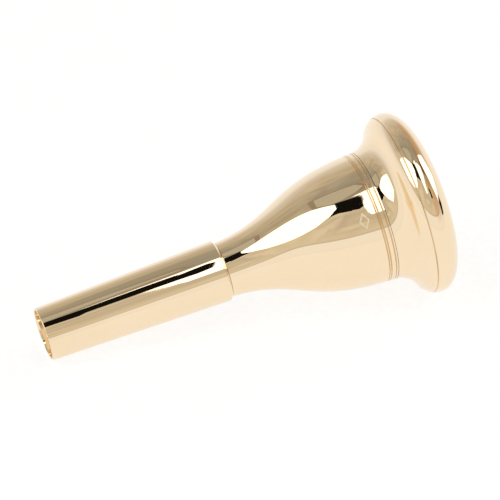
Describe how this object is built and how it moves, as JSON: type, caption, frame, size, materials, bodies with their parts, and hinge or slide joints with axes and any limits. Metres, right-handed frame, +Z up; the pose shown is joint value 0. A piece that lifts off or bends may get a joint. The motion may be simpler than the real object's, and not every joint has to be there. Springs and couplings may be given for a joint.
{
  "type": "horn mouthpiece",
  "caption": "Polished gold-plated brass horn mouthpiece: tapered shank, slim stem swelling into a funnel cup, and a flared, rolled rim, joined by fine screw threads.",
  "frame": {"origin": "on the surface that the mouthpiece lies on, under the middle of its bounding box", "axes": "+Z up; the mouthpiece's own axis is in the XZ plane, from the shank's tip at -X to the rim at +X, and rises 9.74 degrees to +X, because the shank's tip and the rim's roll both touch the surface"},
  "size_m": [0.062, 0.0276, 0.0273],
  "materials": {
    "gold_plate": "polished gold plate on turned brass",
    "o_ring_rubber": "moulded black nitrile rubber"
  },
  "bodies": {
    "shank": {"shank": "gold_plate"},
    "shank_o_ring": {"shank_o_ring": "o_ring_rubber"},
    "cup_body": {"cup_body": "gold_plate"},
    "rim_o_ring": {"rim_o_ring": "o_ring_rubber"},
    "rim": {"rim": "gold_plate"}
  },
  "joints": [
    {"name": "shank_thread_travel", "type": "slide", "parent": "shank", "child": "shank_o_ring", "axis": [0.9856, 0, 0.1691], "range_m": [0, 0.0045]},
    {"name": "shank_thread_turn", "type": "hinge", "parent": "shank_o_ring", "child": "cup_body", "pos_m": [-0.00285, 0, 0.00865], "axis": [0.9856, 0, 0.1691], "range_deg": [0, 2160]},
    {"name": "rim_thread_turn", "type": "hinge", "parent": "cup_body", "child": "rim_o_ring", "pos_m": [0.02048, 0, 0.01265], "axis": [0.9856, 0, 0.1691], "range_deg": [0, 1800]},
    {"name": "rim_thread_travel", "type": "slide", "parent": "rim_o_ring", "child": "rim", "axis": [0.9856, 0, 0.1691], "range_m": [0, 0.00375]}
  ],
  "couplings": [
    {"joint": "shank_thread_turn", "follows": "shank_thread_travel", "rad_per_m": 8377.6},
    {"joint": "rim_thread_turn", "follows": "rim_thread_travel", "rad_per_m": 8377.6}
  ]
}
